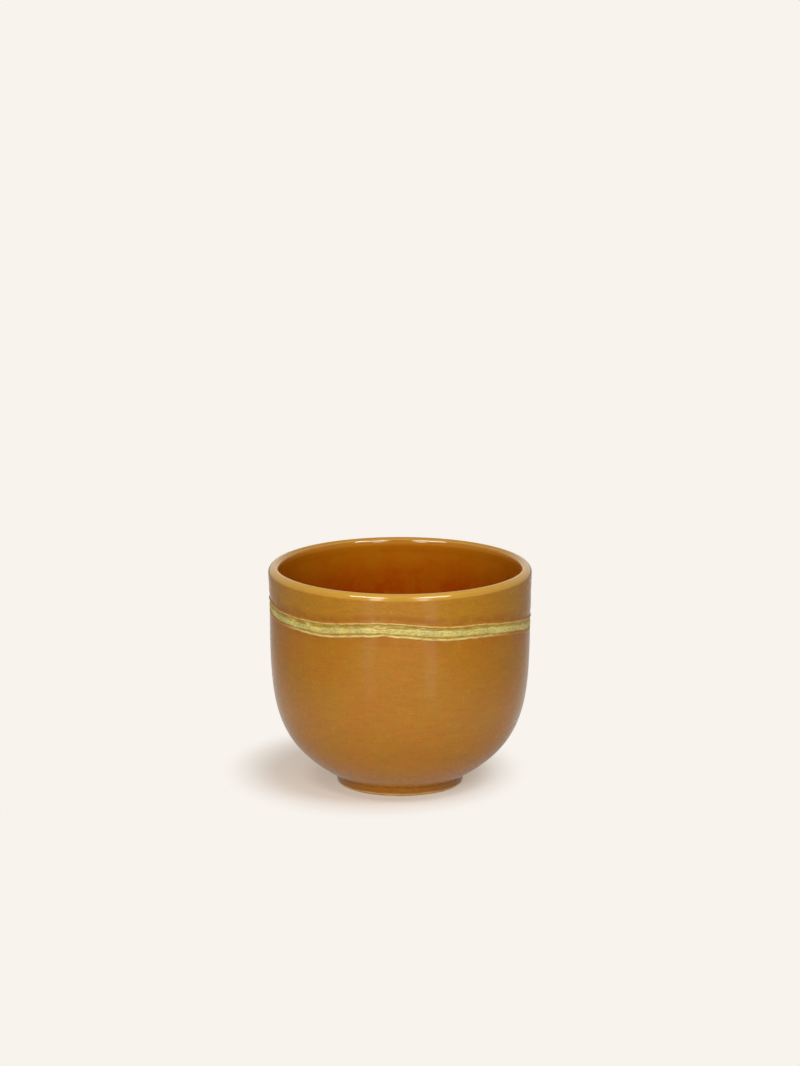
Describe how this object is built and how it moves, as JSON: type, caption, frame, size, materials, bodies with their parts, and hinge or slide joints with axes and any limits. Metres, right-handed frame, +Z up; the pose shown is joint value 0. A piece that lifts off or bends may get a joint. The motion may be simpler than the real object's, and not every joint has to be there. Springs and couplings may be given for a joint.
{
  "type": "porcelain cup",
  "caption": "Handle-free round porcelain cup with a thick rolled lip, a wavy torn-clay strip round its upper wall and a low glazed foot, for hot or cold drinks.",
  "frame": {"origin": "centre of the foot, on the table that the cup stands on", "axes": "+Z up along the cup's axis; the front of the picture faces -Y, and +X is to its right"},
  "size_m": [0.088, 0.088, 0.0743],
  "materials": {
    "porcelain": "bare fired clay",
    "torn_clay": "rough torn clay",
    "bowl_glaze": "satin amber glaze",
    "collar_glaze": "satin amber glaze, golden on the lip",
    "strip_glaze": "thin pale yellow-green glaze",
    "liner_glaze": "glossy deep amber glaze",
    "foot_glaze": "satin brown amber glaze"
  },
  "bodies": {
    "root": {"bowl_body": "porcelain", "rim_collar": "porcelain", "foot_ring": "porcelain", "seam_strip": "torn_clay", "bowl_glaze": "bowl_glaze", "collar_glaze": "collar_glaze", "strip_glaze": "strip_glaze", "liner_glaze": "liner_glaze", "foot_glaze": "foot_glaze", "base_glaze": "foot_glaze"}
  },
  "joints": []
}
